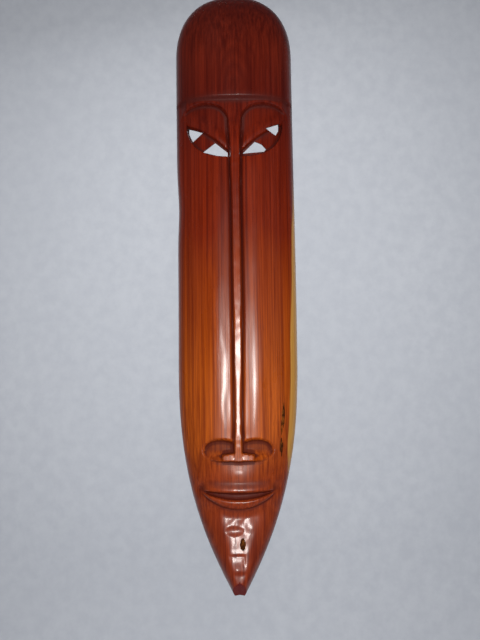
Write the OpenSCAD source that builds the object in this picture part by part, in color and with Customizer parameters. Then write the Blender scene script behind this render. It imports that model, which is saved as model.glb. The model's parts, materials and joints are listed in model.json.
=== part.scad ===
// Carved wall mask: a long half-round board with a narrow stylised face, hollowed from the back,
// hung from a swinging D-ring in a pocket behind the forehead.
// Millimetres. +Z is up the face, the face looks toward -Y, and the wall is the plane Y = 0.
// The origin is the point of the wall plane level with where the ring rests on a hook.

/* [Mask] */
// Height of the mask from the tip of the chin to the top of the dome.
mask_length = 600; // [500:5:720]
// Width of the mask across the cheeks.
mask_width = 118; // [96:1:140]
// Depth of the mask from the wall to the top of the nose.
mask_depth = 48.5; // [40:0.5:58]
// Thickness of the wood in front of the hollow, measured at the crest of the cheeks.
wall_thickness = 15; // [12:0.5:18]
// Width of the flat rim left round the hollow.
rim_width = 11; // [9:0.5:14]

/* [Face] */
// Height of the nose ridge over the cheeks.
nose_height = 8.2; // [6:0.1:10]
// Height of the brow band over the cheeks.
brow_height = 3.4; // [2:0.1:4.4]
// Depth of the eye slits below the upper lids.
eye_depth = 3.6; // [2:0.1:4.5]
// Angle that the eye openings rise at on their way to the back.
eye_rise = 16; // [0:1:20]
// Depth of the scoops over the nostril wings.
scoop_depth = 4.6; // [3:0.1:6]
// Height of the lower lip.
lip_height = 4.2; // [3:0.1:5.5]

/* [Hanger] */
// Distance from the top of the dome down to the wall hook.
hook_drop = 35; // [33:0.5:42]
// Thickness of the ring's wire.
ring_wire = 3; // [2.4:0.1:3.4]
// Width inside the ring.
ring_width = 20; // [18:0.5:22]
// Gap all round the wire in the strap's loop.
ring_gap = 0.1; // [0.06:0.01:0.1]
// Angle the ring leans out toward the wall when it hangs.
ring_lean = 25; // [20:1:28]
// Width of the strap.
strap_width = 12; // [10:0.5:13]
// Thickness of the strap's sheet, which is folded double.
strap_sheet = 1; // [0.8:0.1:1.2]
// Thickness of the two wood screws.
screw_size = 3; // [2.6:0.1:3.4]
// Length of the screws under the head.
screw_length = 14; // [12:0.5:16]

/* [Hidden] */

wood = [0.45, 0.16, 0.07];
steel = [0.55, 0.56, 0.58];
brass = [0.72, 0.60, 0.32];

// The face is drawn at one design size and stretched to the sizes above.
design_length = 600;
design_width = 118;
design_depth = 48.5;
half_design = design_width / 2;
tall = mask_length / design_length;
wide = mask_width / design_width;
deep = mask_depth / design_depth;

// The hanger, measured from the wall hook.
leg_length = 6;
corner_radius = 3;
wire_radius = ring_wire / 2;
leg_offset = ring_width / 2 + wire_radius;
loop_inside = wire_radius + ring_gap;
loop_outside = loop_inside + strap_sheet;
ring_height = leg_length + leg_offset;
pocket_floor = -14;
bar_y = pocket_floor + loop_outside;
bar_z = wire_radius - ring_height * cos(ring_lean);
strap_face = pocket_floor + 2 * strap_sheet;
strap_length = 30;
head_radius = screw_size;
head_height = 2.2;
pilot_gap = 0.02;
screw_drops = [13, 25];
strap_bottom = bar_z - strap_length;
pocket_radius = leg_offset + wire_radius + 2;
pocket_top = 15;
pocket_bottom = strap_bottom - 4;

// The mask, measured up from the chin's tip.
hook_height = mask_length - hook_drop;
hollow_bottom = 66 * tall;
hollow_top = hook_height + pocket_bottom - 10;

// Eye openings: corners across and up the design face. The right eye sits a little higher, as carved.
left_eye = [
    [[-31.5, 427.7], [-19.3, 436.8], [-7.0, 426.7], [-7.0, 423.1], [-18, 424.1]],
    [[-46.7, 452], [-31.2, 447.4], [-41.8, 438], [-45.8, 446]]
];
right_eye = [
    [[7.7, 425.9], [19.9, 437.8], [26.6, 434.8], [31, 429.9], [28.9, 427.6]],
    [[30.7, 451.3], [44.1, 455.7], [44.1, 449], [40.9, 443.8]]
];
// Height and depth, at the middle of the eyes, that the openings keep whatever their rise.
eye_height = 440;
eye_front = 36;

// Rows of the carved surface: closer together where the carving is fine.
rows = concat(
    [0, 3, 6, 9, 12, 16, 22, 32, 44, 56, 66, 73, 78],
    [for (s = [81:1.6:103.4]) s],
    [106, 110, 114, 118, 122, 125.5, 127, 128, 129],
    [for (s = [130.5:2:149]) s],
    [152, 160, 180, 205, 235, 265, 300, 335, 370, 400, 415],
    [for (s = [421:2.4:472]) s],
    [for (s = [473.5:1.6:489]) s],
    [500, 515, 530, 542],
    [for (angle = [9:9:81]) 534 + 65.7 * sin(angle)],
    [599.7]
);
// Columns of the carved surface, as parts of the half width.
half_columns = [
    0.025, 0.047, 0.062, 0.08, 0.1, 0.13, 0.17, 0.22, 0.27, 0.33, 0.39,
    0.45, 0.51, 0.57, 0.63, 0.69, 0.75, 0.81, 0.87, 0.925, 0.965, 0.99, 1
];
columns = concat(
    [for (i = [len(half_columns) - 1:-1:0]) -half_columns[i]],
    [0],
    half_columns
);
hollow_columns = [for (angle = [-90:11.25:90]) sin(angle)];

// Smooth rise from 0 at a to 1 at b.
function smooth(a, b, v) = let (q = min(1, max(0, (v - a) / (b - a)))) q * q * (3 - 2 * q);
function bell(q) = exp(-q * q);
function plus(v) = max(0, v);
// Height of a rounded shape with squarer or softer shoulders, 1 in the middle and 0 at the edge.
function shoulder(u, outer, inner) = pow(plus(1 - pow(min(1, abs(u)), outer)), 1 / inner);

// Distance from the middle of a slightly squared oval: 1 on its edge.
function oval_distance(across, up) = pow(pow(abs(across), 2.3) + pow(abs(up), 2.3), 1 / 2.3);

// Half width of the mask at a height above the chin's tip.
function half_width(s) =
    let (
        lower = 5 + (half_design - 5) * (1 - pow(plus(1 - s / 230), 2.5)),
        dome = shoulder(plus(1 - (design_length - s) / 66), 2.3, 2.3)
    )
    lower * dome;

// Height of the plain rounded face and forehead at the middle, before carving.
function face_crest(s) =
    40.3 - 0.00007 * pow(s - 300, 2)
        - 5.2 * (1 - smooth(70, 150, s))
        - 2.6 * bell((s - 81) / 10)
        + 6.5 * bell((s - 20) / 26);
function forehead_crest(s) = 45 * shoulder(plus(s - 500) / 100, 2.7, 1.9);
function section(u) = shoulder(u, 2.4, 2);

// Lines of the face, as heights at a distance from the middle.
function brow_line(a) = 478.4 + 0.0008 * a * a;
function socket_top(a) = 452 + 25 * shoulder((a - 31) / 25.5, 2.5, 2.5);
function socket_bottom(a) = 462 - 39 * shoulder(plus(a - 9) / 38.5, 2.3, 2.3);
function lid_line(a) = 423.2 + 1.07 * a - 0.0068 * a * a;
function nose_half(s) =
    2.3 + 1.2 * smooth(130, 330, s) + smooth(380, 440, s) + 1.4 * smooth(435, 462, s)
        + 0.9 * (1 - smooth(132, 165, s));
function gap_top(a) = 98.4 + 0.0016 * a * a;
function gap_bottom(a) = 91.2 + 0.0062 * a * a;
function lip_line(a) = 82.8 + 0.0125 * a * a;

// Parts of the carving: how far a place is inside each, from 0 to 1, and heights over the face.
function on_nose(a, s) = 1 - smooth(-0.5, 1.7, a - nose_half(s));
function in_nostril(a, s) =
    let (
        above = oval_distance((a - 17) / 15.5, (s - 137.5) / 10.5),
        below = oval_distance(plus(a - 15) / 18, (s - 137.5) / 9.2),
        inside = s > 137.5 ? smooth(-0.2, 0.16, 1 - above) : smooth(-0.09, 0.09, 1 - below)
    )
    inside * smooth(2.5, 6, a);
function in_nose_base(a, s) =
    let (top = 137.6 - 0.16 * a)
    (1 - smooth(14.2, 16.4, a)) * smooth(127.4, 129.2, s) * (1 - smooth(top - 1.8, top, s));
function over_socket(a, s) = s > 452 ? smooth(-2.5, 0.8, s - socket_top(a)) : 0;
function in_socket(a, s) =
    (1 - over_socket(a, s))
        * (1 - on_nose(a, s))
        * smooth(-0.3, 1.8, s - socket_bottom(a))
        * (1 - smooth(46, 54, a));
function eye(a, s) =
    let (
        above_lid = s - lid_line(a),
        lid = 2.8 - 1.7 * bell((above_lid - 5) / 7),
        slit = eye_depth * (1 - smooth(-1, 0.3, above_lid))
    )
    in_socket(a, s) * (lid + slit);
function groove(a, s) =
    let (
        valley = 1.7 * exp(-pow(a / 14, 3)),
        beside_nose = 1.8 * bell((a - nose_half(s) - 1.6) / 1.4)
    )
    (valley + beside_nose) * smooth(130, 156, s) * (1 - smooth(425, 470, s));
function ridge_height(s) =
    nose_height
        - 3 * bell((s - 189) / 58)
        - (nose_height - brow_height - 0.2) * smooth(430, 478, s);
function wing(a, s) =
    let (
        lift = pow(min(1, plus((140 - s) / 11)), 1.4),
        rim = scoop_depth + 4.2 - 3.5 * smooth(18, 32, a)
    )
    in_nostril(a, s) * (lift * rim - scoop_depth);
function philtrum(a, s) = 1.9 * bell((s - 130) / 13) * bell(a / 18);

// Brows, nose ridge, nose base and wings over the face, less the grooves.
function relief(a, s) =
    let (
        brow = brow_height * over_socket(a, s) * (1 - smooth(46, 54, a)),
        cheek = wing(a, s) - groove(a, s) - philtrum(a, s) + brow,
        base_height = nose_height - 1.2 + 0.18 * (132 - s),
        base = cheek + (base_height - cheek) * in_nose_base(a, s)
    )
    base + (ridge_height(s) - base) * on_nose(a, s) * smooth(126.9, 129.2, s);
function lips(a, s) =
    let (
        reach = 1 - smooth(28, 35, a),
        over = s - gap_top(a),
        lip = max(0.6, gap_bottom(a) + 0.6 - lip_line(a)),
        part = min(1, plus(s - lip_line(a)) / lip),
        upper = 2.4 * smooth(-0.8, 1.4, over) * (1 - smooth(1.2, 10, over)),
        rounding = sqrt(plus(1 - pow(abs(2 * part - 1), 2.6))),
        lower = lip_height * rounding * smooth(0, 3, lip),
        in_gap = smooth(-0.4, 1.8, s - gap_bottom(a)) * (1 - smooth(-1.6, 0.4, over)),
        gap = 4.2 * in_gap * smooth(-3, 5, s - gap_bottom(a)),
        corner = 1.8 * bell(norm([a - 36, 0.9 * (s - 102)]) / 5)
    )
    reach * (upper + lower - gap) - corner;

// Height of the carved front over the wall plane, at the design size.
function front_height(x, s) =
    let (
        a = abs(x),
        round = section(a / max(0.001, half_width(s))),
        face = face_crest(s) * round - eye(a, s) + relief(a, s) + lips(a, s),
        forehead = forehead_crest(s) * round,
        step = smooth(0, 4.6, s - brow_line(a)),
        end_cut = 8 + 1.75 * s + 0.9 * a
    )
    min(end_cut, face * (1 - step) + forehead * step);

// One outline across the mask at design height s: along the carved front, closed by the flat back.
function front_outline(s) =
    [for (u = columns)
        let (x = u * half_width(s))
        [x * wide, abs(u) == 1 ? 0 : -front_height(x, s) * deep, s * tall - hook_height]
    ];

// One outline across the hollow, at a height over the chin's tip.
function hollow_outline(s) =
    let (
        part = (s - hollow_bottom) / (hollow_top - hollow_bottom),
        design_s = s / tall,
        ends = shoulder(2 * part - 1, 10, 2.2),
        half = max(2, (half_width(design_s) * wide - rim_width) * (0.25 + 0.75 * ends)),
        height = max(1, (face_crest(design_s) * deep - wall_thickness) * ends)
    )
    [for (u = hollow_columns) [u * half, 0.5 - (height + 0.5) * section(u), s - hook_height]];

// Joins outlines with the same number of points into a solid. Each four-sided patch is split along
// the diagonal that runs down toward the middle of the face, so both sides are split alike.
module skin(outlines) {
    count = len(outlines[0]);
    last = len(outlines) - 1;
    points = [for (outline = outlines) each outline];
    sides = [
        for (i = [0:last - 1])
        for (j = [0:count - 1])
        let (
            a = i * count + j,
            b = i * count + (j + 1) % count,
            c = a + count,
            d = b + count
        )
        each j < count / 2 - 1 ? [[a, c, b], [b, c, d]] : [[a, c, d], [a, d, b]]
    ];
    bottom = [for (j = [0:count - 1]) j];
    top = [for (j = [count - 1:-1:0]) last * count + j];
    polyhedron(points, concat(sides, [bottom], [top]), convexity = 10);
}

module carved_front() {
    skin([for (s = rows) front_outline(s)]);
}

module hollow() {
    middle = (hollow_bottom + hollow_top) / 2;
    reach = (hollow_top - hollow_bottom) / 2;
    skin([for (angle = [0:7.5:180]) hollow_outline(middle - reach * cos(angle))]);
}

// Straight cut through the wood from the front, rising toward the back.
module cut_through(corners) {
    behind = 34;
    ahead = mask_depth - eye_front + 20;
    up = tall * cos(eye_rise);
    translate([0, -eye_front, eye_height * tall - hook_height])
        rotate([90 + eye_rise, 0, 0])
            translate([0, 0, -behind])
                linear_extrude(behind + ahead)
                    polygon([for (p = corners) [p[0] * wide, (p[1] - eye_height) * up]]);
}

module eye_openings() {
    for (corners = concat(left_eye, right_eye)) cut_through(corners);
}

// Rod through the mask's thickness, between two depths behind the wall plane.
module rod_y(radius, from, to) {
    translate([0, from, 0])
        rotate([90, 0, 0])
            cylinder(r = radius, h = from - to, $fn = 48);
}

// Slot with round ends, cut from the wall plane.
module hanger_pocket() {
    translate([0, 0, pocket_top - pocket_radius])
        rod_y(pocket_radius, 1, pocket_floor);
    translate([0, 0, pocket_bottom + pocket_radius])
        rod_y(pocket_radius, 1, pocket_floor);
    translate([-pocket_radius, pocket_floor, pocket_bottom + pocket_radius])
        cube([2 * pocket_radius, 1 - pocket_floor, pocket_top - pocket_bottom - 2 * pocket_radius]);
}

module at_screws() {
    for (drop = screw_drops)
        translate([0, 0, bar_z - drop])
            children();
}

module pilot_holes() {
    at_screws() rod_y(screw_size / 2 + pilot_gap, pocket_floor + 1, strap_face - screw_length - 1);
}

// Flaws of the timber: an oval knot pit on the chin and two bark pockets low on one cheek.
module timber_flaw(x, s, radius, length, depth) {
    for (end = [-1, 1])
        translate([x * wide, 0, s * tall - hook_height + end * length / 2])
            rod_y(radius, -depth, -mask_depth - 1);
    translate([x * wide - radius, -mask_depth - 1, s * tall - hook_height - length / 2])
        cube([2 * radius, mask_depth + 1 - depth, length]);
}

module mask_body() {
    color(wood)
        difference() {
            carved_front();
            hollow();
            eye_openings();
            hanger_pocket();
            pilot_holes();
            timber_flaw(3.4, 50.5, 2.7, 6.2, face_crest(50) * deep - 6);
            timber_flaw(43.2, 170, 1.2, 22, 19 * deep);
            timber_flaw(41.2, 140, 1.2, 15, 17 * deep);
        }
}

// Sheet metal folded double round the ring's bar, with two screw holes.
module hanger_strap() {
    color(steel)
        difference() {
            translate([-strap_width / 2, 0, 0])
                rotate([90, 0, 90])
                    linear_extrude(strap_width)
                        difference() {
                            union() {
                                translate([bar_y, bar_z]) circle(r = loop_outside, $fn = 48);
                                translate([pocket_floor, strap_bottom])
                                    square([2 * strap_sheet, strap_length]);
                            }
                            translate([bar_y, bar_z]) circle(r = loop_inside, $fn = 48);
                        }
            at_screws() rod_y(screw_size / 2 + 0.2, strap_face + 1, pocket_floor - 1);
        }
}

// Straight wire of the ring between two points in the ring's own upright plane.
module wire_along(length) {
    cylinder(r = wire_radius, h = length, $fn = 32);
}

// Part of a turn of wire, starting at the +X side and turning toward +Z.
module wire_turn(radius, angle) {
    rotate([90, 0, 0])
        rotate_extrude(angle = angle, $fn = 64)
            translate([radius, 0])
                circle(r = wire_radius, $fn = 32);
}

// D-ring of bent wire: bar through the strap's loop, two corners, two legs and the rounded top.
module hanger_ring() {
    bar_half = leg_offset - corner_radius;
    color(steel)
        translate([0, bar_y, bar_z])
            rotate([-ring_lean, 0, 0]) {
                translate([-bar_half, 0, 0]) rotate([0, 90, 0]) wire_along(2 * bar_half);
                for (side = [0, 1])
                    mirror([side, 0, 0]) {
                        translate([bar_half, 0, corner_radius])
                            rotate([0, 90, 0])
                                wire_turn(corner_radius, 90);
                        translate([leg_offset, 0, corner_radius])
                            wire_along(leg_length - corner_radius);
                    }
                translate([0, 0, leg_length]) wire_turn(leg_offset, 180);
            }
}

// Pan-head wood screws with a cross slot, driven through the strap into the mask.
module wood_screw() {
    point = 4;
    difference() {
        rotate([90, 0, 0])
            rotate_extrude($fn = 48)
                difference() {
                    union() {
                        square([screw_size / 2, screw_length - point]);
                        translate([0, screw_length - point])
                            polygon([[0, 0], [screw_size / 2, 0], [0, point]]);
                        translate([0, -head_height]) square([head_radius, head_height]);
                    }
                    translate([head_radius + 0.6, -head_height - 0.6]) circle(r = 1.4, $fn = 48);
                }
        for (turn = [45, 135])
            rotate([0, turn, 0])
                translate([-head_radius * 0.6, head_height - 1.2, -0.35])
                    cube([head_radius * 1.2, 2, 0.7]);
    }
}

module hanger_screws() {
    color(brass)
        at_screws()
            translate([0, strap_face, 0])
                wood_screw();
}

mask_body();
hanger_strap();
hanger_ring();
hanger_screws();
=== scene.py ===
"""Looks of the carved wall mask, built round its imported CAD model.

Metres, in the CAD's frame: +Z up the face, the face looks toward -Y, the wall is the plane Y = 0.
The carving is worked out in millimetres as a height t over the wall plane at a place (x, s), where
x is sideways and s is the height over the chin's tip, with the same lines as the CAD body. The face
is the same on both sides, so most of its lines take a, the distance from the middle.
"""

import json
import math

import bmesh
import bpy
import numpy as np
from mathutils import Matrix, Vector

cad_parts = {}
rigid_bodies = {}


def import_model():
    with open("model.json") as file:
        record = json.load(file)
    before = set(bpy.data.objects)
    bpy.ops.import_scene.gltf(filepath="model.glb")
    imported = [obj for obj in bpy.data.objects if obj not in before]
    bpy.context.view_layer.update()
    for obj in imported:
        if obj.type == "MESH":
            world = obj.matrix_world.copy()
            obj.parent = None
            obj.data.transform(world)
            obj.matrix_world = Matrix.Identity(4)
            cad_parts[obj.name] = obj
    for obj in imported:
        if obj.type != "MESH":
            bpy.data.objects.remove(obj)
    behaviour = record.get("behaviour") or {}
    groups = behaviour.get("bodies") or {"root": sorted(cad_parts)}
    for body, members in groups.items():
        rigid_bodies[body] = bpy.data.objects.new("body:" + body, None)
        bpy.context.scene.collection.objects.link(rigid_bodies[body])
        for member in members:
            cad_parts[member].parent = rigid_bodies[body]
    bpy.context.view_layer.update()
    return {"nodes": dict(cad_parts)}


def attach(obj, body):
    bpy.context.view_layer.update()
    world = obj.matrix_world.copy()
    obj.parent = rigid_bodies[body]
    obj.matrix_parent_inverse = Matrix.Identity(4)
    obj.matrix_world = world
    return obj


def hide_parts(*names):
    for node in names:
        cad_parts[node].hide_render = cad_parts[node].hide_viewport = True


for leftover in list(bpy.data.objects):
    bpy.data.objects.remove(leftover)

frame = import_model()

MM = 0.001
TO_RADIANS = math.pi / 180

# ---------------------------------------------------------------- sizes of the carving, in millimetres

LENGTH = 600.0
HALF_WIDTH = 59.0
HOOK_HEIGHT = 565.0
FACE_DEPTH = 40.3
FOREHEAD_DEPTH = 45.0

# Levels over the chin's tip, at the middle of the face.
BROW_LEVEL = 478.4
EYE_LEVEL = 452.0
LID_LEVEL = 423.2
NOSTRIL_LEVEL = 137.5
MOUTH_TOP = 98.4
MOUTH_BOTTOM = 91.2
LOWER_LIP_BOTTOM = 82.8

# How far the features stand out from the face, or lie below it.
BROW_HEIGHT = 3.4
RIDGE_HEIGHT = 8.2
NOSE_BASE_HEIGHT = 7.0
UPPER_LIP_HEIGHT = 2.4
LOWER_LIP_HEIGHT = 4.2
MOUTH_DEPTH = 4.2
SOCKET_DEPTH = 2.8
SLIT_DEPTH = 3.6
SCOOP_DEPTH = 4.6
PHILTRUM_DEPTH = 1.9

# The hollow behind the face, and the hanger's pocket above it.
RIM = 11.0
WALL = 15.0
HOLLOW_BOTTOM = 66.0
HOLLOW_TOP = 506.6
POCKET = {"radius": 15.0, "top": 580.0, "bottom": 516.64, "depth": 14.0}

# Depths where straight cuts start and end: behind the back, inside the hollow and before the face.
BEHIND_BACK = -1.0
IN_HOLLOW = 3.0
BEFORE_FACE = 60.0

# Corners (x, s) of the openings through the eyes, at the depth EYE_FRONT. They rise toward the back.
EYE_OPENINGS = {
    "left_inner": [(-31.5, 427.7), (-19.3, 436.8), (-7.0, 426.7), (-7.0, 423.1), (-18, 424.1)],
    "left_outer": [(-46.7, 452), (-31.2, 447.4), (-41.8, 438), (-45.8, 446)],
    "right_inner": [(7.7, 425.9), (19.9, 437.8), (26.6, 434.8), (31, 429.9), (28.9, 427.6)],
    "right_outer": [(30.7, 451.3), (44.1, 455.7), (44.1, 449), (40.9, 443.8)],
}
EYE_RISE = math.tan(16 * TO_RADIANS)
EYE_FRONT = 36.0

# Flaws of the timber, the knot's pit on the chin and three bark pockets in the cheek's edge: place x
# and s, half width, half height, height t of the pit's floor, and the outline's seed and unevenness.
TIMBER_FLAWS = [
    (3.4, 50.5, 2.7, 5.8, 27, 41, 0.08),
    (43.2, 170, 1.3, 12.0, 21, 170, 0.3),
    (41.4, 158, 0.6, 7.0, 21, 158, 0.3),
    (41.2, 141, 1.4, 8.5, 18, 141, 0.3),
]

# Amounts of painted shade in the shaded parts of the carving, added to the painted shade and dark wax that
# the depth of its grooves gives.
PAINTED_SHADE = {"brow_step": 2.6, "nostrils": 1.8, "mouth": 3.0, "upper_lip": 1.1, "mouth_corners": 1.0}


def level(s):
    """Height in the frame, in metres, of a place s millimetres over the chin's tip."""
    return (s - HOOK_HEIGHT) * MM


# ---------------------------------------------------------------- camera

LENS_MM = 49.9
SENSOR_MM = 36.0
AIM_S = 266.0
AIM_DISTANCE = 887.0
TILT = 6 * TO_RADIANS
ROLL = 0.72 * TO_RADIANS
SIDE_SHIFT = 3.4


def add_camera():
    """The photograph's camera: an ordinary lens close to the mask, a little nearer the chin."""
    data = bpy.data.cameras.new("camera")
    data.lens = LENS_MM
    data.sensor_width = SENSOR_MM
    data.clip_end = 30
    camera = bpy.data.objects.new("camera", data)
    bpy.context.scene.collection.objects.link(camera)
    camera.location = (
        SIDE_SHIFT * MM,
        -AIM_DISTANCE * math.cos(TILT) * MM,
        level(AIM_S - AIM_DISTANCE * math.sin(TILT)),
    )
    look = Matrix.Rotation(math.pi / 2 + TILT, 4, "X") @ Matrix.Rotation(-ROLL, 4, "Z")
    camera.rotation_euler = look.to_euler()
    bpy.context.scene.camera = camera


# ---------------------------------------------------------------- stage and light


def add_light(name, place, target, size, power, color=(1, 1, 1), in_gloss=True):
    """A soft round light at a place, turned to a target, with or without a reflection in gloss."""
    data = bpy.data.lights.new(name, "AREA")
    data.shape = "DISK"
    data.size = size
    data.energy = power
    data.color = color
    light = bpy.data.objects.new(name, data)
    light.location = place
    light.rotation_euler = (Vector(target) - Vector(place)).to_track_quat("-Z", "Y").to_euler()
    light.visible_camera = False
    light.visible_glossy = in_gloss
    bpy.context.scene.collection.objects.link(light)


def add_lights():
    """One small lamp by the camera, whose reflection is the wood's shine, and soft light all round."""
    middle = (0, 0, -0.30)
    add_light("lamp_by_camera", (0.01, -1.0, -0.36), (0, 0, -0.30), 0.13, 4.8, (1.0, 0.97, 0.93))
    add_light("soft_from_above", (-0.5, -1.1, 1.1), middle, 1.4, 3.0, in_gloss=False)
    add_light("soft_from_side", (1.3, -0.9, -0.2), middle, 1.2, 4.5, in_gloss=False)
    add_light("soft_from_left", (-1.3, -0.5, -0.1), middle, 1.2, 2.0, in_gloss=False)
    add_light("soft_from_behind", (-0.3, 1.0, 1.7), (0, 0, -0.2), 1.2, 22, in_gloss=False)
    add_light("on_backdrop", (0, 0.3, 0.15), (0, 2.2, 0.25), 2.2, 26)


def add_world():
    """Pale surroundings for the eye, and dim ones for the wood's gloss, as in a dark room."""
    world = bpy.data.worlds.new("studio")
    bpy.context.scene.world = world
    world.use_nodes = True
    tree = world.node_tree
    dim = tree.nodes["Background"]
    dim.inputs["Color"].default_value = (0.85, 0.88, 1.0, 1)
    dim.inputs["Strength"].default_value = 0.05
    pale = tree.nodes.new("ShaderNodeBackground")
    pale.inputs["Color"].default_value = (0.42, 0.43, 0.47, 1)
    chooser = tree.nodes.new("ShaderNodeMixShader")
    rays = tree.nodes.new("ShaderNodeLightPath")
    tree.links.new(rays.outputs["Is Camera Ray"], chooser.inputs["Fac"])
    tree.links.new(dim.outputs["Background"], chooser.inputs[1])
    tree.links.new(pale.outputs["Background"], chooser.inputs[2])
    tree.links.new(chooser.outputs["Shader"], tree.nodes["World Output"].inputs["Surface"])


def add_stage(material):
    """One pale sheet: a floor well below the mask that curves up into a backdrop far behind it."""
    floor_z = -1.75
    top_z = 3.2
    front_y = -4.0
    back_y = 2.2
    half_span = 4.5
    bend = 0.9
    bend_steps = 16
    profile = [(front_y, floor_z)]
    for step in range(bend_steps + 1):
        angle = step / bend_steps * math.pi / 2
        profile.append((back_y - bend + bend * math.sin(angle), floor_z + bend - bend * math.cos(angle)))
    profile.append((back_y, top_z))
    sheet = bmesh.new()
    rows = [[sheet.verts.new((x, y, z)) for x in (-half_span, half_span)] for y, z in profile]
    for low, high in zip(rows, rows[1:]):
        sheet.faces.new((low[0], low[1], high[1], high[0]))
    for face in sheet.faces:
        face.smooth = True
    backdrop = object_from(sheet, "backdrop", [material])


# ---------------------------------------------------------------- small helpers


def object_from(mesh_maker, name, materials):
    """A new object from a bmesh, linked into the scene."""
    mesh = bpy.data.meshes.new(name)
    mesh_maker.to_mesh(mesh)
    mesh_maker.free()
    for material in materials:
        mesh.materials.append(material)
    made = bpy.data.objects.new(name, mesh)
    bpy.context.scene.collection.objects.link(made)
    return made


def smooth(start, end, value):
    """Smooth rise from 0 at the start to 1 at the end."""
    part = np.clip((value - start) / (end - start), 0, 1)
    return part * part * (3 - 2 * part)


def bell(u):
    """Soft hump: 1 in the middle, about a third at -1 and 1, and soon 0 beyond."""
    return np.exp(-u * u)


def shoulder(u, outer, inner):
    """Height of a rounded shape: 1 in the middle and 0 at the edge."""
    return np.maximum(1 - np.minimum(1, np.abs(u)) ** outer, 0) ** (1 / inner)


def oval_distance(across, up):
    """Distance from the middle of a slightly squared oval: 1 on its edge."""
    return (np.abs(across) ** 2.3 + np.abs(up) ** 2.3) ** (1 / 2.3)


def noise(x, y, cell_x, cell_y, seed):
    """Smooth random height from -1 to 1, with lumps of about the cell's size."""
    size = 257
    far_from_edge = 1000.5
    lattice = np.random.default_rng(seed).uniform(-1, 1, (size, size))
    gx = x / cell_x + far_from_edge
    gy = y / cell_y + far_from_edge
    ix = np.floor(gx).astype(int)
    iy = np.floor(gy).astype(int)
    fx = gx - ix
    fy = gy - iy
    fx = fx * fx * (3 - 2 * fx)
    fy = fy * fy * (3 - 2 * fy)
    corner = [[lattice[(ix + i) % size, (iy + j) % size] for j in (0, 1)] for i in (0, 1)]
    low = corner[0][0] * (1 - fx) + corner[1][0] * fx
    high = corner[0][1] * (1 - fx) + corner[1][1] * fx
    return low * (1 - fy) + high * fy


# ---------------------------------------------------------------- the carving's lines, in millimetres


def half_width(s):
    """Half the mask's width: a long taper to the chin's tip and a round dome on top."""
    lower = 5 + (HALF_WIDTH - 5) * (1 - np.maximum(1 - s / 230, 0) ** 2.5)
    return lower * shoulder(np.maximum(1 - (LENGTH - s) / 66, 0), 2.3, 2.3)


def rounded(x, s):
    """Rounding of the front from side to side: 1 in the middle and 0 at the outline."""
    return shoulder(x / np.maximum(half_width(s), 0.001), 2.4, 2)


def face_crest(s):
    """Height of the face along its middle: lower on the chin, with a dip under the lip and a full tip."""
    crest = FACE_DEPTH - 0.00007 * (s - 300) ** 2
    crest = crest - 5.2 * (1 - smooth(70, 150, s))
    crest = crest - 2.6 * bell((s - 81) / 10)
    return crest + 6.5 * bell((s - 20) / 26)


def forehead_crest(s):
    return FOREHEAD_DEPTH * shoulder(np.maximum(s - 500, 0) / 100, 2.7, 1.9)


def brow_line(a):
    return BROW_LEVEL + 0.0008 * a * a


def socket_top(a):
    return EYE_LEVEL + 25 * shoulder((a - 31) / 25.5, 2.5, 2.5)


def socket_bottom(a):
    return EYE_LEVEL + 10 - 39 * shoulder(np.maximum(a - 9, 0) / 38.5, 2.3, 2.3)


def lid_line(a):
    return LID_LEVEL + 1.07 * a - 0.0068 * a * a


def nose_half(s):
    """Half the width of the nose's ridge, which spreads into the brow and the nose base."""
    half = 2.3 + 1.2 * smooth(130, 330, s) + smooth(380, 440, s) + 1.4 * smooth(435, 462, s)
    return half + 0.9 * (1 - smooth(132, 165, s))


def in_nostril(a, s):
    """1 inside the oval of a nostril wing and its scoop, with a straight lower edge near the nose."""
    up = s - NOSTRIL_LEVEL
    above = oval_distance((a - 17) / 15.5, up / 10.5)
    below = oval_distance(np.maximum(a - 15, 0) / 18, up / 9.2)
    soft_top = smooth(-0.2, 0.16, 1 - above)
    crisp_bottom = smooth(-0.09, 0.09, 1 - below)
    return np.where(up > 0, soft_top, crisp_bottom) * smooth(2.5, 6, a)


def gap_top(a):
    return MOUTH_TOP + 0.0016 * a * a


def gap_bottom(a):
    return MOUTH_BOTTOM + 0.0062 * a * a


def lip_line(a):
    return LOWER_LIP_BOTTOM + 0.0125 * a * a


def on_nose(a, s):
    return 1 - smooth(-0.5, 1.7, a - nose_half(s))


def beside_nose(a):
    """1 across the eye sockets, and 0 at the mask's sides."""
    return 1 - smooth(46, 54, a)


def over_socket(a, s):
    return np.where(s > EYE_LEVEL, smooth(-2.5, 0.8, s - socket_top(a)), 0)


def in_socket(a, s):
    inside = (1 - over_socket(a, s)) * (1 - on_nose(a, s))
    return inside * smooth(-0.3, 1.8, s - socket_bottom(a)) * beside_nose(a)


def eye(a, s):
    """Depth of the socket below the face: shallower along the lid, and deeper in the slit below it."""
    above_lid = s - lid_line(a)
    lid = SOCKET_DEPTH - 1.7 * bell((above_lid - 5) / 7)
    slit = SLIT_DEPTH * (1 - smooth(-1.0, 0.3, above_lid))
    return in_socket(a, s) * (lid + slit)


def groove(a, s):
    """Depth of the valley along both sides of the nose, and of the crease at its foot."""
    valley = 1.7 * np.exp(-(a / 14) ** 3) + 1.8 * bell((a - nose_half(s) - 1.6) / 1.4)
    return valley * smooth(130, 156, s) * (1 - smooth(425, 470, s))


def ridge_height(s):
    return RIDGE_HEIGHT - 3.0 * bell((s - 189) / 58) - 4.6 * smooth(430, 478, s)


def wing(a, s):
    """A scoop under the cheek's edge that rises to a lip along the wing's lower edge."""
    lift = np.clip((140 - s) / 11, 0, 1) ** 1.4
    return in_nostril(a, s) * (lift * (8.8 - 3.5 * smooth(18, 32, a)) - SCOOP_DEPTH)


def in_nose_base(a, s):
    top = 137.6 - 0.16 * a
    return (1 - smooth(14.2, 16.4, a)) * smooth(127.4, 129.2, s) * (1 - smooth(top - 1.8, top, s))


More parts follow.
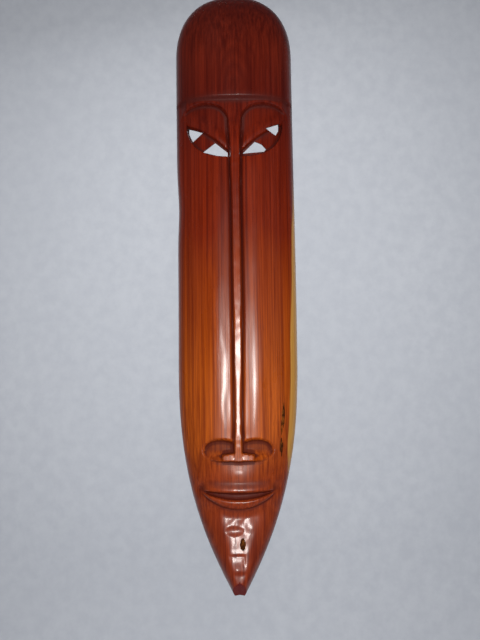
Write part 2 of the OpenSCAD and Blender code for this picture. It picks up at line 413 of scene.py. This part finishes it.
def philtrum(a, s):
    """The hollow between the nose base and the upper lip."""
    return PHILTRUM_DEPTH * bell((s - 130) / 13) * bell(a / 18)


def relief(a, s):
    """Height of the brows, the nose ridge and its base and wings over the face, less the grooves."""
    height = wing(a, s) - groove(a, s) - philtrum(a, s)
    height = height + BROW_HEIGHT * over_socket(a, s) * beside_nose(a)
    base_height = NOSE_BASE_HEIGHT + 0.18 * (132 - s)
    height = height + (base_height - height) * in_nose_base(a, s)
    return height + (ridge_height(s) - height) * on_nose(a, s) * smooth(126.9, 129.2, s)


def mouth_gap(a, s):
    return smooth(-0.4, 1.8, s - gap_bottom(a)) * (1 - smooth(-1.6, 0.4, s - gap_top(a)))


def lips(a, s):
    """Height of both lips, less the gap between them and the dents at the mouth's corners."""
    reach = 1 - smooth(28, 35, a)
    over = s - gap_top(a)
    lip = np.maximum(0.6, gap_bottom(a) + 0.6 - lip_line(a))
    part = np.clip((s - lip_line(a)) / lip, 0, 1)
    upper = UPPER_LIP_HEIGHT * smooth(-0.8, 1.4, over) * (1 - smooth(1.2, 10, over))
    lower = LOWER_LIP_HEIGHT * np.sqrt(1 - np.abs(2 * part - 1) ** 2.6) * smooth(0, 3, lip)
    corner = 1.8 * bell(np.hypot(a - 36, 0.9 * (s - 102)) / 5)
    gap = MOUTH_DEPTH * mouth_gap(a, s) * smooth(-3, 5, s - gap_bottom(a))
    return reach * (upper + lower - gap) - corner


def end_cut(a, s):
    """Height of the slanting cut that blunts the chin's tip."""
    return 8 + 1.75 * s + 0.9 * a


def front_height(x, s):
    """Height of the carved front over the wall plane."""
    a = np.abs(x)
    face = face_crest(s) * rounded(x, s) - eye(a, s) + relief(a, s) + lips(a, s)
    forehead = forehead_crest(s) * rounded(x, s)
    step = smooth(0, 4.6, s - brow_line(a))
    return np.minimum(end_cut(a, s), face * (1 - step) + forehead * step)


# ---------------------------------------------------------------- marks of the hand and tool


def tool_marks(x, s):
    """Small unevenness left by the gouge and the scraper."""
    marks = 0.30 * noise(x, s, 17, 62, seed=11) + 0.12 * noise(x, s, 7, 24, seed=12)
    ripple = 0.10 * noise(x, s, 9, 4.2, seed=13) * on_nose(np.abs(x), s)
    return (marks + ripple) * smooth(0.1, 0.5, rounded(x, s))


def chin_planes(s):
    """Height of three flat chisel cuts down the chin, each a little steeper than the one above it."""
    upper = 29.5 - 0.139 * (s - 63)
    middle = 33.6 - 0.172 * (s - 34)
    lower = 35.3 - 0.190 * (s - 17)
    planes = middle + (upper - middle) * smooth(40, 41.4, s)
    return lower + (planes - lower) * smooth(22, 27, s)


def chin_facets(x, s):
    """Marks of the chisel on the chin: the flat cuts, a shallow lens-shaped cut and small unevenness."""
    cuts = 0.22 * noise(x + 0.3 * s, s, 9, 12, seed=21) + 0.16 * noise(x - 0.4 * s, s, 5, 7, seed=22)
    lens = 0.9 * np.maximum(1 - ((x + 4.5) / 9.5) ** 2 - ((s - 62.5) / 4.6) ** 2, 0)
    inside = smooth(10, 18, s) * (1 - smooth(74, 84, s)) * (1 - smooth(14, 21, np.abs(x + 1)))
    step = 0.5 * (1 - smooth(40, 41.4, s)) * smooth(28, 37, s) * (1 - smooth(6, 9, np.abs(x + 2)))
    over = front_height(x, s) - chin_planes(s) + 0.035 * (x + 2)
    flat = 0.5 * (over + np.sqrt(over ** 2 + 2.2)) * smooth(8, 14, s) * (1 - smooth(74, 83, s))
    return (cuts - lens - step) * inside - flat


def lean(x, s):
    """Slight sideways bow of the whole mask, and a dip in its left edge."""
    bow = 1.1 * bell((s - 285) / 140)
    dip = 1.5 * bell((s - 378) / 26) * smooth(30, 58, -x)
    return bow + dip


# ---------------------------------------------------------------- meshes of the mask


def row_places():
    """Heights of the rows of the carved front: close together where the carving is fine."""
    dome_start = 540
    short_of_top = 0.15
    spans = [
        (0, 12, 0.8),
        (12, 78, 1.1),
        (78, 152, 0.6),
        (152, 412, 2.4),
        (412, 492, 0.6),
        (492, dome_start, 2.0),
    ]
    rows = [np.arange(low, high, step) for low, high, step in spans]
    dome = dome_start + (LENGTH - short_of_top - dome_start) * np.sin(np.linspace(0, math.pi / 2, 46))
    return np.concatenate(rows + [dome])


def column_places(count):
    """Places across the mask, from -1 to 1, close together at the nose and at the edges."""
    v = np.linspace(-1, 1, count)
    return np.sin(math.pi / 2 * (0.72 * v + 0.28 * v ** 3))


def place_points(x, t, s):
    return np.stack([x * MM, -t * MM, level(s)], axis=-1)


def closed_grid(points, name, material):
    """A closed solid from a grid of points whose first and last columns lie on one plane."""
    rows, columns = points.shape[:2]
    mesh = bpy.data.meshes.new(name)
    index = np.arange(rows * columns).reshape(rows, columns)
    sides = np.stack([index[:-1, :-1], index[:-1, 1:], index[1:, 1:], index[1:, :-1]], -1).reshape(-1, 4)
    back = np.stack([index[:-1, -1], index[:-1, 0], index[1:, 0], index[1:, -1]], -1)
    faces = [tuple(face) for face in np.concatenate([sides, back]).tolist()]
    faces.append(tuple(index[0, ::-1].tolist()))
    faces.append(tuple(index[-1].tolist()))
    mesh.from_pydata(points.reshape(-1, 3).tolist(), [], faces)
    mesh.materials.append(material)
    made = bpy.data.objects.new(name, mesh)
    bpy.context.scene.collection.objects.link(made)
    return made


def carved_front(material):
    s = row_places()[:, None]
    x = column_places(count=231)[None, :] * half_width(s)
    s = np.broadcast_to(s, x.shape)
    t = front_height(x, s) + tool_marks(x, s) + chin_facets(x, s)
    t[:, 0] = 0
    t[:, -1] = 0
    t = np.maximum(t, 0)
    return closed_grid(place_points(x + lean(x, s), t, s), "carved_mask", material)


def hollow_cutter(material):
    """The gouged-out hollow behind the face."""
    middle = (HOLLOW_BOTTOM + HOLLOW_TOP) / 2
    reach = (HOLLOW_TOP - HOLLOW_BOTTOM) / 2
    s = middle - reach * np.cos(np.linspace(0, math.pi, 150))[:, None]
    ends = shoulder((s - middle) / reach, 10, 2.2)
    half = np.maximum(2, (half_width(s) - RIM) * (0.25 + 0.75 * ends))
    height = np.maximum(1, (face_crest(s) - WALL) * ends)
    u = np.sin(np.linspace(-math.pi / 2, math.pi / 2, 61))[None, :]
    x = u * half
    t = (height + 0.5) * shoulder(u, 2.4, 2) - 0.5
    gouge = 0.55 * np.abs(noise(x, s, 9, 26, seed=31)) + 0.3 * noise(x, s, 5, 15, seed=32)
    t = t - gouge * smooth(1, 6, t)
    s = np.broadcast_to(s, x.shape)
    return closed_grid(place_points(x + lean(x, s), t, s), "hollow_cutter", material)


def prism_cutter(name, corners, near, far, material, bow=True, rise=0.0):
    """A straight cut from one depth to another, with an outline of (x, s) corners.

    It runs along Y, or rises toward the back and has the outline's height at the eyes' depth.
    """
    cutter = bmesh.new()
    shift = [float(lean(np.array(x), np.array(s))) if bow else 0.0 for x, s in corners]
    ends = []
    for t in (near, far):
        up = rise * (EYE_FRONT - t)
        places = [((x + side) * MM, -t * MM, level(s + up)) for (x, s), side in zip(corners, shift)]
        ends.append([cutter.verts.new(place) for place in places])
    count = len(corners)
    cutter.faces.new(ends[0])
    cutter.faces.new(ends[1][::-1])
    for i in range(count):
        j = (i + 1) % count
        cutter.faces.new((ends[0][i], ends[1][i], ends[1][j], ends[0][j]))
    bmesh.ops.recalc_face_normals(cutter, faces=cutter.faces)
    return object_from(cutter, name, [material])


def stadium(x, bottom, top, radius, steps=20):
    """Corners of a slot with round ends that stands upright."""
    corners = []
    for centre, start in ((top - radius, 0), (bottom + radius, 180)):
        for i in range(steps + 1):
            angle = (start + 180 * i / steps) * TO_RADIANS
            corners.append((x + radius * math.cos(angle), centre + radius * math.sin(angle)))
    return corners


def oval(x, s, wide, tall, seed, unevenness, steps=18):
    """Corners of an uneven oval."""
    uneven = np.random.default_rng(seed).uniform(1 - unevenness, 1 + unevenness, steps)
    corners = []
    for i in range(steps):
        angle = 2 * math.pi * i / steps
        corners.append((x + wide * uneven[i] * math.cos(angle), s + tall * uneven[i] * math.sin(angle)))
    return corners


def cut(body, cutter):
    """Takes the cutter's solid from the body, and drops the cutter."""
    modifier = body.modifiers.new(cutter.name, "BOOLEAN")
    modifier.operation = "DIFFERENCE"
    modifier.solver = "MANIFOLD"
    modifier.material_mode = "TRANSFER"
    modifier.object = cutter
    graph = bpy.context.evaluated_depsgraph_get()
    cut_mesh = bpy.data.meshes.new_from_object(body.evaluated_get(graph), depsgraph=graph)
    body.modifiers.clear()
    body.data = cut_mesh
    bpy.data.objects.remove(cutter)


def recess_depth(x, s):
    """How deep a place lies in the carving's grooves, with extra in its shaded parts: the amount of
    painted shade and dark wax there.
    """
    a = np.abs(x)
    height = front_height(x, s)
    shade_and_wax_amount = np.zeros_like(x)
    for reach in (1.6, 3.6):
        around = [
            front_height(x + reach * i, s + reach * j)
            for i, j in ((1, 0), (-1, 0), (0, 1), (0, -1))
        ]
        shade_and_wax_amount = shade_and_wax_amount + sum(around) / 4 - height
    shade_and_wax_amount = shade_and_wax_amount * (1 - 0.45 * smooth(150, 170, s) * (1 - smooth(415, 430, s)))
    over_lip = s - gap_top(a)
    lip_slope = smooth(1, 3.5, over_lip) * (1 - smooth(7, 15, over_lip)) * (1 - smooth(22, 36, a))
    # Painted shade on the brow's step, in the nostrils' scoops, the mouth's gap and corners, and on the
    # slope over the upper lip.
    shade_and_wax_amount = shade_and_wax_amount + PAINTED_SHADE["brow_step"] * bell((s - brow_line(a) - 2.2) / 4.2)
    shade_and_wax_amount = shade_and_wax_amount + PAINTED_SHADE["nostrils"] * in_nostril(a, s) * smooth(131, 147, s)
    shade_and_wax_amount = shade_and_wax_amount + PAINTED_SHADE["mouth"] * mouth_gap(a, s) * (1 - smooth(31, 36, a))
    shade_and_wax_amount = shade_and_wax_amount + PAINTED_SHADE["upper_lip"] * lip_slope
    shade_and_wax_amount = shade_and_wax_amount + PAINTED_SHADE["mouth_corners"] * bell(np.hypot(a - 35, 0.9 * (s - 101)) / 6)
    return np.where(s < 590, shade_and_wax_amount, 0)


def mark_recesses(mask):
    """Stores the recess depth, the amount of painted shade and wax, on each point of the front, and 0 on
    the points that lie well below it.
    """
    places = np.empty(len(mask.data.vertices) * 3)
    mask.data.vertices.foreach_get("co", places)
    x, y, z = places.reshape(-1, 3).T / MM
    s = np.clip(z + HOOK_HEIGHT, 0, LENGTH)
    x = x - lean(x, s)
    below = smooth(1.0, 4.0, front_height(x, s) + y)
    shade_and_wax_amount = recess_depth(x, s) * (1 - below)
    mask.data.attributes.new("shade_and_wax_amount", "FLOAT", "POINT").data.foreach_set("value", shade_and_wax_amount)


def set_face_materials(mask, raw, end_grain):
    """Unvarnished wood on the flat back, and dull end grain on the blunt facet at the chin's tip."""
    mask.data.materials.append(end_grain)
    names = [material.name for material in mask.data.materials]
    for polygon in mask.data.polygons:
        x, y, z = polygon.center / MM
        s = z + HOOK_HEIGHT
        on_back = y > -0.05 and polygon.normal.y > 0.99
        near_tip = s < 20 and y < -4
        if on_back:
            polygon.material_index = names.index(raw.name)
        elif near_tip and front_height(x - lean(x, s), s) > end_cut(abs(x), s) - 0.1:
            polygon.material_index = names.index(end_grain.name)


def build_mask(varnished, raw, shaded_raw, flaw, end_grain):
    """The whole carving, cut from one solid and dressed in its woods."""
    mask = carved_front(varnished)
    cut(mask, hollow_cutter(raw))
    for name, corners in EYE_OPENINGS.items():
        cut(mask, prism_cutter("eye_" + name, corners, IN_HOLLOW, BEFORE_FACE, shaded_raw, rise=EYE_RISE))
    pocket = stadium(0, POCKET["bottom"], POCKET["top"], POCKET["radius"])
    cut(mask, prism_cutter("pocket", pocket, BEHIND_BACK, POCKET["depth"], raw, bow=False))
    for x, s, wide, tall, floor, seed, unevenness in TIMBER_FLAWS:
        outline = oval(x, s, wide, tall, seed, unevenness)
        cut(mask, prism_cutter("timber_flaw", outline, floor, BEFORE_FACE, flaw))
    mark_recesses(mask)
    set_face_materials(mask, raw, end_grain)
    mask.data.set_sharp_from_angle(angle=38 * TO_RADIANS)
    for polygon in mask.data.polygons:
        polygon.use_smooth = True
    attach(mask, "carving")
    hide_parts("mask_body")


# ---------------------------------------------------------------- materials

# Colour of the painted shade and dark wax in the carving's grooves.
SHADE_AND_WAX_COLOR = (0.095, 0.009, 0.005)
GRAIN_SHADE = (0.45, 0.33, 0.36)
GRAIN_LIGHT = (1.22, 1.5, 1.3)
PALE_SAPWOOD = (0.95, 0.50, 0.10)
DEEP_SAPWOOD = (0.78, 0.34, 0.06)
RINGS_PER_METRE = 260.0
ARCS_PER_METRE = 330.0


class Nodes:
    """Short calls for building one material out of nodes."""

    def __init__(self, name):
        self.material = bpy.data.materials.new(name)
        self.material.use_nodes = True
        self.tree = self.material.node_tree
        self.shader = self.tree.nodes["Principled BSDF"]
        self.place = self.tree.nodes.new("ShaderNodeTexCoord").outputs["Object"]

    def add(self, kind, inputs=(), output=0, **settings):
        node = self.tree.nodes.new(kind)
        for name, value in settings.items():
            setattr(node, name, value)
        for name, value in dict(inputs).items():
            self.set(node.inputs[name], value)
        return node.outputs[output]

    def set(self, socket, value):
        if isinstance(value, bpy.types.NodeSocket):
            self.tree.links.new(value, socket)
        else:
            socket.default_value = value

    def surface(self, **values):
        for name, value in values.items():
            self.set(self.shader.inputs[name.replace("_", " ")], value)

    def math(self, operation, a, b=0.0):
        return self.add("ShaderNodeMath", {0: a, 1: b}, operation=operation)

    def noise(self, lumps_per_metre, detail=4.0, rough=0.55):
        """Noise with its own number of lumps to the metre along X, Y and Z."""
        vector = self.add("ShaderNodeMapping", {"Vector": self.place, "Scale": lumps_per_metre})
        values = {"Vector": vector, "Scale": 1.0, "Detail": detail, "Roughness": rough}
        return self.add("ShaderNodeTexNoise", values)

    def range(self, value, low, high, new_low=0.0, new_high=1.0, smooth_ends=False):
        values = {"Value": value, 1: low, 2: high, 3: new_low, 4: new_high}
        kind = "SMOOTHSTEP" if smooth_ends else "LINEAR"
        return self.add("ShaderNodeMapRange", values, interpolation_type=kind)

    def ramp(self, value, stops):
        output = self.add("ShaderNodeValToRGB", {"Fac": value})
        elements = output.node.color_ramp.elements
        while len(elements) < len(stops):
            elements.new(0.5)
        for element, (position, color) in zip(elements, stops):
            element.position = position
            element.color = (*color, 1)
        return output

    def mix(self, amount, a, b, blend="MIX"):
        node = self.tree.nodes.new("ShaderNodeMix")
        node.data_type = "RGBA"
        node.blend_type = blend
        self.set(node.inputs[0], amount)
        for socket, value in ((node.inputs[6], a), (node.inputs[7], b)):
            self.set(socket, value if isinstance(value, bpy.types.NodeSocket) else (*value, 1))
        return node.outputs[2]

    def bump(self, height, strength, distance):
        values = {"Height": height, "Strength": strength, "Distance": distance}
        self.set(self.shader.inputs["Normal"], self.add("ShaderNodeBump", values))

    def length(self, a, b):
        """Length of the long side of a right triangle whose short sides are a and b."""
        squares = self.math("ADD", self.math("MULTIPLY", a, a), self.math("MULTIPLY", b, b))
        return self.math("SQRT", squares)

    def axis(self, name):
        return self.add("ShaderNodeSeparateXYZ", {0: self.place}, output="XYZ".index(name))


def wood_grain(nodes):
    """Growth rings, streaks and pores of the timber: three values from 0 to 1."""
    bend = nodes.noise((9, 9, 1.6), 3.0)
    x = nodes.axis("X")
    y = nodes.axis("Y")
    z = nodes.axis("Z")
    across = nodes.math("ADD", nodes.math("ADD", x, nodes.math("MULTIPLY", z, 0.02)), 0.004)
    depth = nodes.math("ADD", nodes.math("SUBTRACT", y, nodes.math("MULTIPLY", z, 0.035)), -0.018)
    radius = nodes.math("ADD", nodes.length(across, depth), nodes.math("MULTIPLY", bend, 0.012))
    rings = nodes.math("FRACT", nodes.math("MULTIPLY", radius, RINGS_PER_METRE))
    from_middle = nodes.math("ABSOLUTE", nodes.math("SUBTRACT", rings, 0.5))
    ring = nodes.range(from_middle, 0.0, 0.5, smooth_ends=True)
    streak = nodes.noise((480, 290, 4.5), 5.0, 0.65)
    pore = nodes.noise((1500, 1500, 60), 2.0, 0.5)
    return ring, streak, pore


def forehead_arcs(nodes):
    """Nested arcs of grain low on the forehead, from 0 to 1."""
    bend = nodes.noise((22, 22, 10), 3.0)
    across = nodes.math("ADD", nodes.axis("X"), nodes.range(bend, 0.3, 0.7, -0.004, 0.004))
    up = nodes.math("MULTIPLY", nodes.math("SUBTRACT", nodes.axis("Z"), level(490)), 0.42)
    radius = nodes.math("ADD", nodes.length(across, up), nodes.range(bend, 0.3, 0.7, -0.002, 0.002))
    arcs = nodes.math("PINGPONG", nodes.math("MULTIPLY", radius, ARCS_PER_METRE), 1.0)
    near = nodes.range(radius, 0.010, 0.036, 1.0, 0.0, smooth_ends=True)
    over_brow = nodes.range(nodes.axis("Z"), level(483), level(489))
    return nodes.math("MULTIPLY", nodes.math("MULTIPLY", arcs, near), over_brow)


def heartwood_and_painted_light(nodes):
    """Dark red-brown at the forehead through orange-brown low on the cheeks to red-brown at the chin:
    partly the wood's own tone, partly painted light and shade, lightest where the lamp by the camera
    falls.
    """
    along = nodes.range(nodes.axis("Z"), level(0), level(LENGTH))
    drift = nodes.noise((14, 14, 5), 3.0)
    along = nodes.math("ADD", along, nodes.range(drift, 0.3, 0.7, -0.03, 0.03))
    # The bright orange band low on the cheeks is partly painted light from the lamp by the camera; the
    # dark forehead is partly painted shade.
    return nodes.ramp(along, [
        (0.00, (0.30, 0.032, 0.010)),
        (0.12, (0.38, 0.046, 0.010)),
        (0.17, (0.40, 0.050, 0.010)),
        (0.21, (0.46, 0.066, 0.008)),
        (0.25, (0.61, 0.098, 0.006)),
        (0.36, (0.58, 0.090, 0.005)),
        (0.48, (0.44, 0.052, 0.003)),
        (0.58, (0.29, 0.021, 0.002)),
        (0.72, (0.24, 0.015, 0.003)),
        (0.81, (0.17, 0.011, 0.004)),
        (0.88, (0.19, 0.014, 0.005)),
        (1.00, (0.115, 0.008, 0.004)),
    ])


def grained_color(nodes, ring, streak, pore):
    """The heartwood's colour, with its painted light and shade, and its streaks, rings, arcs and pores."""
    color = heartwood_and_painted_light(nodes)
    dark = nodes.mix(1.0, color, GRAIN_SHADE, "MULTIPLY")
    light = nodes.mix(1.0, color, GRAIN_LIGHT, "MULTIPLY")
    color = nodes.mix(nodes.range(streak, 0.37, 0.64, 0.0, 0.85), light, dark)
    color = nodes.mix(nodes.range(ring, 0.55, 1.0, 0.0, 0.10), color, dark)
    color = nodes.mix(nodes.math("MULTIPLY", forehead_arcs(nodes), 0.45), color, dark)
    return nodes.mix(nodes.range(pore, 0.62, 0.72, 0.0, 0.6), color, dark)


def sapwood_area(nodes):
    """1 on the strip of pale sapwood down the cheek's +X edge, with a wavering border, and 0 elsewhere."""
    z = nodes.axis("Z")
    border = nodes.range(z, level(135), level(395), 0.0487, 0.0575)
    wobble = nodes.noise((30, 30, 9), 3.0)
    border = nodes.math("ADD", border, nodes.range(wobble, 0.3, 0.7, -0.0014, 0.0014))
    past_border = nodes.math("SUBTRACT", nodes.axis("X"), border)
    strip = nodes.range(past_border, -0.0007, 0.0009, smooth_ends=True)
    over_mouth = nodes.range(z, level(90), level(140), smooth_ends=True)
    under_eyes = nodes.range(z, level(415), level(365), smooth_ends=True)
    return nodes.math("MULTIPLY", strip, nodes.math("MULTIPLY", over_mouth, under_eyes))


def dulling(nodes, shaded_and_waxed):
    """What makes the varnish rougher: the painted shade and wax in the grooves, and wear on the chin and
    low on the cheeks.
    """
    z = nodes.axis("Z")
    in_shade_and_wax = nodes.range(shaded_and_waxed, 0, 1, 0, 0.35)
    on_chin = nodes.range(z, level(65), level(95), 0.11, 0)
    low_cheeks = nodes.math(
        "MULTIPLY",
        nodes.range(z, level(200), level(165), 0.0, 0.16),
        nodes.range(z, level(125), level(140), smooth_ends=True),
    )
    return nodes.math("ADD", nodes.math("ADD", in_shade_and_wax, on_chin), low_cheeks)


def varnished_wood():
    """Red-brown varnished wood, with painted light and shade in its tone, painted shade and dark wax in
    the carving's grooves, and one strip of sapwood.
    """
    nodes = Nodes("varnished_wood")
    ring, streak, pore = wood_grain(nodes)
    shade_and_wax_amount = nodes.add("ShaderNodeAttribute", output="Fac", attribute_name="shade_and_wax_amount")
    # Painted shade, partly dark wax: deep grooves and shaded parts turn dark red-brown, with less coat and
    # rougher varnish.
    shaded_and_waxed = nodes.range(shade_and_wax_amount, 0.1, 2.2, 0.0, 0.85)
    color = nodes.mix(shaded_and_waxed, grained_color(nodes, ring, streak, pore), SHADE_AND_WAX_COLOR)
    sapwood = nodes.mix(nodes.range(streak, 0.35, 0.65), PALE_SAPWOOD, DEEP_SAPWOOD)
    smear = nodes.noise((60, 60, 18), 3.0)
    nodes.surface(
        Base_Color=nodes.mix(sapwood_area(nodes), color, sapwood),
        Roughness=nodes.math("ADD", nodes.range(smear, 0.3, 0.7, 0.25, 0.36), dulling(nodes, shaded_and_waxed)),
        Specular_IOR_Level=0.35,
        Coat_Weight=nodes.range(shaded_and_waxed, 0, 0.6, 0.25, 0.02),
        Coat_Roughness=0.15,
        Coat_IOR=1.5,
    )
    grain_relief = nodes.math("ADD", nodes.math("MULTIPLY", pore, 0.35), streak)
    nodes.bump(grain_relief, 0.3, 0.0004)
    return nodes.material


def raw_wood(name, shade):
    """Unvarnished wood with random dark stains: the gouged back, and, at a low shade, a darker copy that
    paints shade on the walls of the eye openings.
    """
    nodes = Nodes(name)
    ring, streak, pore = wood_grain(nodes)
    color = nodes.mix(nodes.range(streak, 0.3, 0.7), (0.24, 0.085, 0.038), (0.13, 0.045, 0.022))
    color = nodes.mix(nodes.range(ring, 0.5, 1.0, 0.0, 0.4), color, (0.09, 0.03, 0.015))
    color = nodes.mix(1.0, color, (shade, shade, shade), "MULTIPLY")
    stain = nodes.noise((12, 12, 6), 4.0)
    color = nodes.mix(nodes.range(stain, 0.45, 0.7, 0.0, 0.45), color, (0.07, 0.026, 0.015))
    nodes.surface(Base_Color=color, Roughness=nodes.range(streak, 0.3, 0.7, 0.62, 0.8))
    nodes.bump(nodes.math("ADD", pore, streak), 0.6, 0.0006)
    return nodes.material


def end_grain_wood():
    """Dark, dull wood cut across the grain at the chin's tip."""
    nodes = Nodes("end_grain_wood")
    pore = nodes.noise((900, 900, 900), 3.0)
    color = nodes.mix(nodes.range(pore, 0.35, 0.65), (0.34, 0.018, 0.010), (0.20, 0.010, 0.006))
    nodes.surface(
        Base_Color=color,
        Roughness=nodes.range(pore, 0.3, 0.7, 0.5, 0.65),
        Specular_IOR_Level=0.15,
    )
    nodes.bump(pore, 0.4, 0.0003)
    return nodes.material


def flaw_wood():
    """Dark bark and decayed wood at the bottom of the pits."""
    nodes = Nodes("flaw_wood")
    crumbs = nodes.noise((500, 500, 220), 4.0)
    color = nodes.ramp(crumbs, [
        (0.3, (0.012, 0.004, 0.002)),
        (0.5, (0.09, 0.022, 0.004)),
        (0.7, (0.42, 0.13, 0.016)),
    ])
    nodes.surface(Base_Color=color, Roughness=0.7, Specular_IOR_Level=0.1)
    nodes.bump(crumbs, 0.8, 0.0006)
    return nodes.material


def plated_metal(name, light, dark, rough, marks_per_metre):
    """Plated sheet or wire with faint handling marks and a little tarnish."""
    nodes = Nodes(name)
    marks = nodes.noise(marks_per_metre, 4.0, 0.6)
    tarnish = nodes.noise((190, 190, 190), 4.0, 0.6)
    color = nodes.mix(nodes.range(tarnish, 0.5, 0.75), light, dark)
    nodes.surface(
        Base_Color=color,
        Metallic=1.0,
        Roughness=nodes.range(marks, 0.3, 0.7, rough, rough + 0.16),
    )
    nodes.bump(marks, 0.12, 0.0002)
    return nodes.material


def backdrop_cloth():
    """Pale grey-blue cloth with a soft nap."""
    nodes = Nodes("backdrop_pale")
    nap = nodes.noise((26, 26, 26), 5.0, 0.6)
    patches = nodes.noise((1.2, 1.2, 1.2), 2.0)
    pale = nodes.mix(nodes.range(nap, 0.35, 0.65), (0.60, 0.625, 0.68), (0.66, 0.685, 0.735))
    pale = nodes.mix(nodes.range(patches, 0.3, 0.7, 0.0, 0.35), pale, (0.56, 0.585, 0.64))
    nodes.surface(Base_Color=pale, Roughness=0.95)
    return nodes.material


def dress_hanger():
    """The hanger's CAD shapes are right, so they keep them and take better materials."""
    zinc = plated_metal("zinc_plate", (0.62, 0.62, 0.60), (0.30, 0.28, 0.25), 0.34, (900, 900, 40))
    nickel = plated_metal("nickel_wire", (0.72, 0.70, 0.66), (0.36, 0.32, 0.27), 0.2, (300, 300, 300))
    brass = plated_metal("brass_plate", (0.78, 0.58, 0.27), (0.36, 0.24, 0.10), 0.24, (700, 300, 700))
    finishes = {"hanger_strap": zinc, "hanger_ring": nickel, "hanger_screws": brass}
    for node, material in finishes.items():
        mesh = frame["nodes"][node].data
        mesh.materials.clear()
        mesh.materials.append(material)


# ---------------------------------------------------------------- putting it together

bpy.context.scene.view_settings.view_transform = "Standard"
add_camera()
add_lights()
add_world()
add_stage(backdrop_cloth())
build_mask(
    varnished=varnished_wood(),
    raw=raw_wood("raw_wood", 1.0),
    # A darker copy of the raw wood: painted shade on the walls of the eye openings.
    shaded_raw=raw_wood("shaded_raw_wood", 0.4),
    flaw=flaw_wood(),
    end_grain=end_grain_wood(),
)
dress_hanger()
